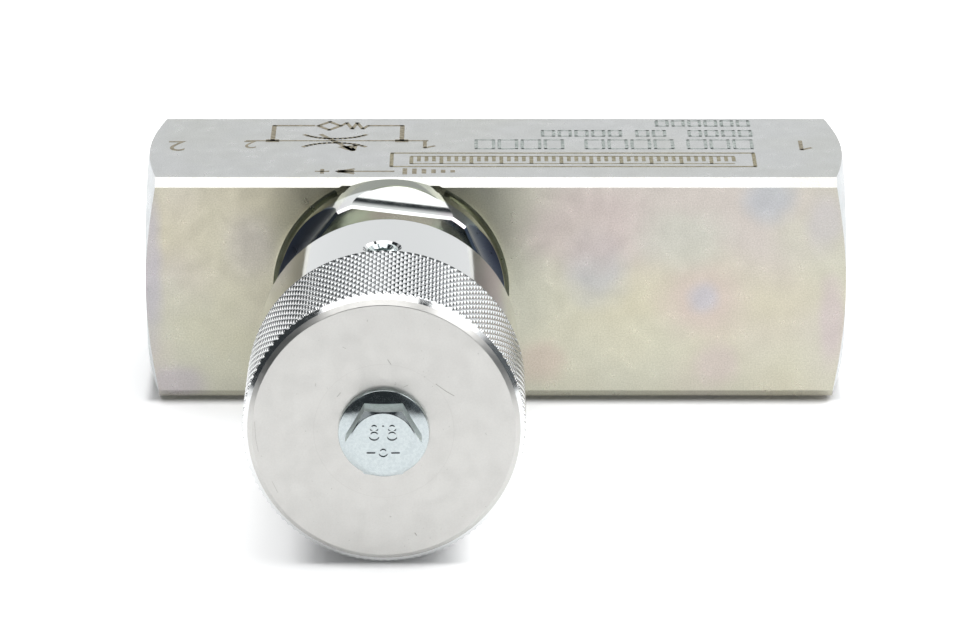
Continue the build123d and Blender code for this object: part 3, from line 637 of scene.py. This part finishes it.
pressed = []
for sx in (-1, 1):
    pressed += [loop(sx * 1.08, 2.06, 0.42, 0.38), loop(sx * 1.08, 1.08, 0.54, 0.50)]
pressed.append([(-0.03, 2.36), (0.03, 2.36)])
pressed.append(loop(0.0, -1.05, 0.46, 0.46))
pressed.append([(-1.9, -1.05), (-1.05, -1.05)])
pressed.append([(1.05, -1.05), (1.9, -1.05)])
rows = [(3.995, STEP_B + 0.002), (3.94, 0.044), (3.885, 0.014), (3.84, 0.003), (3.79, 0.0)]
rows += [(3.79 - 0.045 * k, 0.0) for k in range(1, 84)]
SPOKES = 320
ang = np.arange(SPOKES) * 2 * math.pi / SPOKES
rr = np.array([r for r, _ in rows])
gx, gz = np.outer(rr, np.cos(ang)), np.outer(rr, np.sin(ang))
near = np.full(gx.shape, 9.0)
for path in pressed:
    for (x0, z0), (x1, z1) in zip(path, path[1:]):
        ux, uz = x1 - x0, z1 - z0
        t = np.clip(((gx - x0) * ux + (gz - z0) * uz) / (ux * ux + uz * uz), 0.0, 1.0)
        near = np.minimum(near, np.hypot(gx - x0 - t * ux, gz - z0 - t * uz))
HALF_G, DEEP_G = 0.19, 0.068
deep = np.where(near < HALF_G, DEEP_G * 0.5 * (1 + np.cos(math.pi * near / HALF_G)), 0.0)
deep = deep + np.array([d for _, d in rows])[:, None]
verts = [(float(gx[i, j]), -(BD - float(deep[i, j])), AX + float(gz[i, j])) for i in range(len(rows)) for j in range(SPOKES)]
faces = [(i * SPOKES + j, i * SPOKES + (j + 1) % SPOKES, (i + 1) * SPOKES + (j + 1) % SPOKES, (i + 1) * SPOKES + j) for i in range(len(rows) - 1) for j in range(SPOKES)]
faces.append(tuple((len(rows) - 1) * SPOKES + j for j in range(SPOKES)))
head_face = mesh_obj("bolt_face", verts, faces, 50)
bm = bmesh.new(); bm.from_mesh(head_face.data); bmesh.ops.recalc_face_normals(bm, faces=bm.faces); bm.to_mesh(head_face.data); bm.free()
if sum(p.normal.y * p.area for p in head_face.data.polygons) > 0:
    head_face.data.flip_normals()
give(head_face, bolt_m.mat)
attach(head_face, "adjuster")

# fine handling marks on the knob face
scr = []
for pts, wd in (
    ([(6.3, 6.0), (7.5, 5.1), (8.5, 4.5)], 0.09), ([(0.5, 9.1), (0.9, 8.5)], 0.08), ([(-5.6, 4.4), (-5.2, 4.9)], 0.07),
    ([(3.7, -13.1), (3.9, -13.4)], 0.14), ([(-4.9, 10.7), (-4.5, 10.5)], 0.05), ([(2.4, 5.6), (3.0, 5.9)], 0.05),
    ([(-15.6, 1.2), (-15.5, -1.0), (-15.2, -2.6)], 0.04), ([(-13.6, -6.4), (-12.9, -7.9)], 0.04),
):
    scr.append((pts, wd))
scratch_m = Mat("scratch", lin(150, 148, 144), 1.0, 0.4)
scratch_m.rough(scratch_m.ramp(scratch_m.noise(1500, 2), 0.3, 0.7, 0.35, 0.5))
fine_marks = strokes("knob_scratches", scr, scratch_m.mat, z=0.0, thick=0.012)
for v in fine_marks.data.vertices:
    x, y, z = v.co[:]
    v.co = (x, -KNOB_FRONT * MM - z, AX * MM + y)
bm = bmesh.new(); bm.from_mesh(fine_marks.data); bmesh.ops.recalc_face_normals(bm, faces=bm.faces); bm.to_mesh(fine_marks.data); bm.free()
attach(fine_marks, "adjuster")

# ------------------------------------------------------------------ port threads
PITCH, CREST_R, ROOT_R = 1.337, 7.475, 8.29
body = nodes["valve_body"].copy()
body.data = nodes["valve_body"].data.copy()
body.name = "valve_body_threaded"
bpy.context.scene.collection.objects.link(body)
body.parent = None
body.matrix_world = nodes["valve_body"].matrix_world.copy()


def thread_cutter(x_mouth, sign, turns, steps=48):
    """Helical V groove running into the port from its mouth."""
    verts, faces = [], []
    prof = [(CREST_R - 0.18, -0.62), (ROOT_R, -0.09), (ROOT_R, 0.09), (CREST_R - 0.18, 0.62)]
    total_steps = int(turns * steps)
    for i in range(total_steps + 1):
        a = 2 * math.pi * i / steps
        x = -0.6 + PITCH * i / steps
        fade = min(1.0, (total_steps - i) / (steps * 0.6))
        for r, dx in prof:
            rr = r if r < CREST_R else CREST_R - 0.1 + (r - CREST_R + 0.1) * fade
            verts.append((x_mouth - sign * (x + dx), rr * math.cos(a), AX + sign * rr * math.sin(a)))
    for i in range(total_steps):
        for k in range(4):
            l = (k + 1) % 4
            faces.append((i * 4 + k, (i + 1) * 4 + k, (i + 1) * 4 + l, i * 4 + l))
    faces += [(0, 1, 2, 3), tuple(total_steps * 4 + k for k in (3, 2, 1, 0))]
    ob = mesh_obj("thread_cutter", verts, faces, 0)
    bm = bmesh.new(); bm.from_mesh(ob.data); bmesh.ops.recalc_face_normals(bm, faces=bm.faces); bm.to_mesh(ob.data); bm.free()
    return ob


for x_mouth, sign in ((59.5, 1), (-32.1, -1)):
    cutter = thread_cutter(x_mouth, sign, 8.2)
    boolean(body, cutter)
shade(body, 12)
give(body, zinc.mat)
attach(body, "valve")
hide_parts("valve_body")

# ------------------------------------------------------------------ stage
SLOPE = math.atan2(2.25, 66.9)


def floor_z(y):
    return (y - 13.9) * math.tan(SLOPE)


me = bpy.data.meshes.new("floor")
W = 3.0
me.from_pydata([(-W, -W, floor_z(-W * 1000) * MM), (W, -W, floor_z(-W * 1000) * MM), (W, W, floor_z(W * 1000) * MM), (-W, W, floor_z(W * 1000) * MM)], [], [(0, 1, 2, 3)])
floor = bpy.data.objects.new("floor", me)
bpy.context.scene.collection.objects.link(floor)
fl = Mat("floor", (0.93, 0.93, 0.93, 1), 0.0, 0.9)
fl.bsdf.inputs["Specular IOR Level"].default_value = 0.1
FX, FY, FZ = fl.sep()


def outside(v, lo, hi):
    """How far v lies outside lo..hi (mm), in metres."""
    return fl.math("MAXIMUM", fl.math("MAXIMUM", fl.math("SUBTRACT", lo * MM, v), fl.math("SUBTRACT", v, hi * MM)), 0.0)


def apart(x0, x1, y0, y1, side=1.0):
    u, v = fl.math("MULTIPLY", outside(FX, x0, x1), side), outside(FY, y0, y1)
    return fl.math("SQRT", fl.math("ADD", fl.math("MULTIPLY", u, u), fl.math("MULTIPLY", v, v)))


# painted shadow: the floor's glow drops from 0.42 to 0.03 inside two fixed rectangles under the body and under the
# knob, in place of their contact shadows; the patches do not move with the knob
painted_shadow_gap = fl.math("MINIMUM", apart(-31.5, 59, -12.6, 16), apart(-6, 6, -68.8, -37, 0.22))
fl.link(fl.ramp(painted_shadow_gap, 0.0, 0.0016, 0.03, 0.42), fl.bsdf.inputs["Emission Strength"])
fl.bsdf.inputs["Emission Color"].default_value = (1, 1, 1, 1)
give(floor, fl.mat)


def area(name, loc, target, size, power, color=(1, 1, 1), size_y=None):
    l = bpy.data.lights.new(name, "AREA")
    l.shape = "RECTANGLE"
    l.size, l.size_y = size, size_y or size
    l.energy, l.color = power, color
    o = bpy.data.objects.new(name, l)
    bpy.context.scene.collection.objects.link(o)
    o.location = loc
    o.rotation_euler = (Vector(target) - Vector(loc)).to_track_quat("-Z", "Y").to_euler()
    return o


BOX_Z = 0.70
area("softbox_left", (-0.13, -0.09, BOX_Z), (-0.13, -0.09, 0.0), 0.72, 3.47, size_y=0.66)
area("softbox_right", (0.62, 0.04, BOX_Z), (0.62, 0.04, 0.0), 0.56, 3.6, size_y=0.86)

# studio around the object: bright sweep behind, window side right, dark room left and behind the camera
w = bpy.data.worlds.new("studio")
bpy.context.scene.world = w
w.use_nodes = True
nt = w.node_tree
bg = nt.nodes["Background"]
wtc = nt.nodes.new("ShaderNodeTexCoord")
wsep = nt.nodes.new("ShaderNodeSeparateXYZ")
nt.links.new(wtc.outputs["Generated"], wsep.inputs[0])
WX, WY, WZ = wsep.outputs


def wrange(src, lo, hi, a, b):
    m = nt.nodes.new("ShaderNodeMapRange")
    m.interpolation_type = "SMOOTHSTEP"
    for k, v in zip(("From Min", "From Max", "To Min", "To Max"), (lo, hi, a, b)):
        m.inputs[k].default_value = v
    nt.links.new(src, m.inputs["Value"])
    return m.outputs["Result"]


def wmath(op, x, y):
    m = nt.nodes.new("ShaderNodeMath")
    m.operation = op
    for k, v in ((0, x), (1, y)):
        if isinstance(v, (int, float)):
            m.inputs[k].default_value = v
        else:
            nt.links.new(v, m.inputs[k])
    return m.outputs[0]


back = wmath("MULTIPLY", wrange(WY, 0.80, 0.90, 0.0, 1.12), wrange(WZ, 0.30, 0.56, 1.0, 0.0))
sweep = wmath("MULTIPLY", wmath("MULTIPLY", wrange(WX, -0.16, -0.04, 0.0, 2.0), wrange(WY, 0.05, 0.15, 0.0, 1.0)), wrange(WZ, 0.62, 0.66, 0.0, 1.0))
flank = wmath("MULTIPLY", wmath("MULTIPLY", wrange(WX, 0.16, 0.30, 0.0, 1.4), wrange(WY, 0.20, 0.40, 0.0, 1.0)), wrange(WZ, 0.30, 0.40, 0.0, 1.0))
right = wmath("MULTIPLY", wrange(WX, 0.40, 0.60, 0.0, 1.5), wrange(WZ, 0.40, 0.60, 0.0, 1.0))
rim = wmath("MULTIPLY", wrange(WX, 0.30, 0.50, 0.0, 0.16), wrange(WZ, 0.02, 0.08, 0.0, 1.0))
low = wrange(WZ, -0.02, 0.03, 0.9, 0.0)
total = low
wide = wmath("ABSOLUTE", WX, 0.0)
fill = wmath("MULTIPLY", wmath("MULTIPLY", wrange(wide, 0.30, 0.45, 0.0, 0.6), wrange(wmath("MULTIPLY", WY, -1.0), 0.25, 0.45, 0.0, 1.0)), wrange(WZ, 0.25, 0.35, 0.0, 1.0))
left = wmath("MULTIPLY", wmath("MULTIPLY", wrange(wmath("MULTIPLY", WX, -1.0), 0.42, 0.50, 0.0, 0.6), wrange(WY, 0.35, 0.50, 0.0, 1.0)), wmath("MULTIPLY", wrange(WZ, 0.34, 0.42, 0.0, 1.0), wrange(WZ, 0.56, 0.64, 1.0, 0.0)))
for part in (back, sweep, flank, right, rim, fill, left, 0.05):
    total = wmath("MAXIMUM", total, part)
nt.links.new(total, bg.inputs["Strength"])
tint = nt.nodes.new("ShaderNodeMix")
tint.data_type = "RGBA"
nt.links.new(wrange(total, 0.05, 0.4, 0.0, 1.0), tint.inputs[0])
tint.inputs[6].default_value = (0.80, 0.92, 1.0, 1)
tint.inputs[7].default_value = (0.97, 0.985, 1.0, 1)
nt.links.new(tint.outputs[2], bg.inputs["Color"])

cam_d = bpy.data.cameras.new("camera")
cam = bpy.data.objects.new("camera", cam_d)
bpy.context.scene.collection.objects.link(cam)
cam.location = (0.01162, -0.6870, 0.2289)
cam.rotation_euler = (math.radians(90 - 17.98), 0, 0)
cam_d.lens, cam_d.sensor_width, cam_d.sensor_fit = 202.2, 36.0, "HORIZONTAL"
cam_d.clip_start, cam_d.clip_end = 0.01, 20
bpy.context.scene.camera = cam
bpy.context.scene.view_settings.view_transform = "Standard"
bpy.context.scene.view_settings.look = "None"
